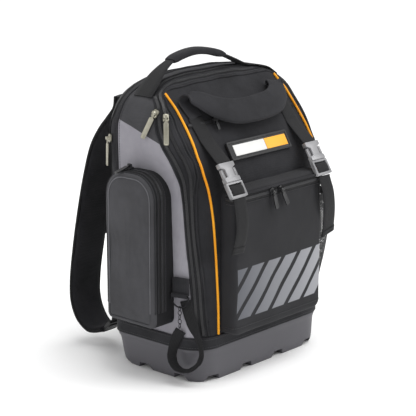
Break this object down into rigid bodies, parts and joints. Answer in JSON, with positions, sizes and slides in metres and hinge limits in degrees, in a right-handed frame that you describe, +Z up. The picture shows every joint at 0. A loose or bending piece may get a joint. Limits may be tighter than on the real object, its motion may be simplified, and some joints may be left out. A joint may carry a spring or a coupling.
{
  "type": "tool backpack",
  "caption": "Soft tool backpack on a moulded treaded tub, with side box pocket, front pocket, net pocket, lash buckles and padded shoulder straps.",
  "frame": {"origin": "on the floor under the tub's middle foot, below the crown of the bag", "axes": "+Z up, front facing -Y, shoulder straps at +Y, +X to the right seen from the front"},
  "size_m": [0.4326, 0.3593, 0.511],
  "materials": {
    "tub_plastic": "grained moulding",
    "charcoal_polyester": "coated plain weave",
    "grey_polyester": "coated plain weave",
    "orange_piping": "woven over a cord",
    "black_mesh": "open knitted mesh",
    "black_webbing": "ribbed webbing and zip tape",
    "badge_rubber": "moulded, satin",
    "silver_plastic": "metallic grey, satin",
    "black_plastic": "satin",
    "nickel": "warm nickel plating",
    "black_steel": "black oxide"
  },
  "bodies": {
    "pack": {"base_tub": "tub_plastic", "base_trim": "charcoal_polyester", "front_compartment": "charcoal_polyester", "back_compartment": "charcoal_polyester", "front_pocket": "charcoal_polyester", "front_handle": "charcoal_polyester", "shoulder_strap_left": "charcoal_polyester", "shoulder_strap_right": "charcoal_polyester", "strap_wing_left": "charcoal_polyester", "strap_wing_right": "charcoal_polyester", "back_pad": "charcoal_polyester", "main_compartment": "grey_polyester", "side_pocket": "grey_polyester", "piping_left": "orange_piping", "piping_right": "orange_piping", "net_pocket": "black_mesh", "front_zip_tape": "black_webbing", "side_pocket_zip": "black_webbing", "front_pocket_zip": "black_webbing", "net_pocket_binding": "black_webbing", "slot_zip": "black_webbing", "lash_strap_left": "black_webbing", "lash_strap_right": "black_webbing", "lash_tail_left": "black_webbing", "lash_tail_right": "black_webbing", "top_handle": "black_webbing", "top_handle_grip": "black_webbing", "ring_tab": "black_webbing", "tape_loop": "black_webbing", "strap_webbing_left": "black_webbing", "strap_webbing_right": "black_webbing", "sternum_strap": "black_webbing", "badge": "badge_rubber", "buckle_socket_left": "silver_plastic", "buckle_socket_right": "silver_plastic", "buckle_frame_left": "silver_plastic", "buckle_frame_right": "silver_plastic", "strap_adjuster_left": "black_plastic", "strap_adjuster_right": "black_plastic", "sternum_clasp": "black_plastic", "side_pocket_slider": "black_plastic", "pouch_slider_left": "black_plastic", "pouch_slider_right": "black_plastic", "slot_slider": "black_plastic", "main_zip_slider": "nickel", "front_zip_slider": "nickel", "back_zip_slider": "nickel", "d_ring": "black_steel", "tape_chain": "black_steel"},
    "main_zip_tag": {"main_zip_pull": "nickel"},
    "front_zip_tag": {"front_zip_pull": "nickel"},
    "back_zip_tag": {"back_zip_pull": "nickel"},
    "side_pocket_tag": {"side_pocket_pull": "black_plastic"},
    "pouch_tag_left": {"pouch_pull_left": "black_plastic"},
    "pouch_tag_right": {"pouch_pull_right": "black_plastic"},
    "slot_tag": {"slot_pull": "black_plastic"}
  },
  "joints": [
    {"name": "main_zip_swing", "type": "hinge", "parent": "pack", "child": "main_zip_tag", "pos_m": [-0.16761, -0.01624, 0.4274], "axis": [-0.1991, 0.8937, 0.4021], "range_deg": [0, 150]},
    {"name": "front_zip_swing", "type": "hinge", "parent": "pack", "child": "front_zip_tag", "pos_m": [-0.15926, -0.03282, 0.42226], "axis": [-0.7256, 0.6879, 0.0138], "range_deg": [0, 150]},
    {"name": "back_zip_swing", "type": "hinge", "parent": "pack", "child": "back_zip_tag", "pos_m": [-0.174, 0.07961, 0.37639], "axis": [0.4269, 0.9041, 0.0181], "range_deg": [-6, 150]},
    {"name": "side_pocket_swing", "type": "hinge", "parent": "pack", "child": "side_pocket_tag", "pos_m": [-0.189, 0.017, 0.34465], "axis": [0.0995, 0.995, 0], "range_deg": [0, 130]},
    {"name": "pouch_swing_left", "type": "hinge", "parent": "pack", "child": "pouch_tag_left", "pos_m": [-0.025, -0.13765, 0.297], "axis": [-0.9578, 0, -0.2873], "range_deg": [-10, 150]},
    {"name": "pouch_swing_right", "type": "hinge", "parent": "pack", "child": "pouch_tag_right", "pos_m": [-0.004, -0.13765, 0.297], "axis": [-0.8762, 0, -0.4819], "range_deg": [-10, 150]},
    {"name": "slot_swing", "type": "hinge", "parent": "pack", "child": "slot_tag", "pos_m": [-0.07222, -0.05839, 0.40998], "axis": [-0.9993, 0.0362, 0], "range_deg": [0, 50]}
  ]
}
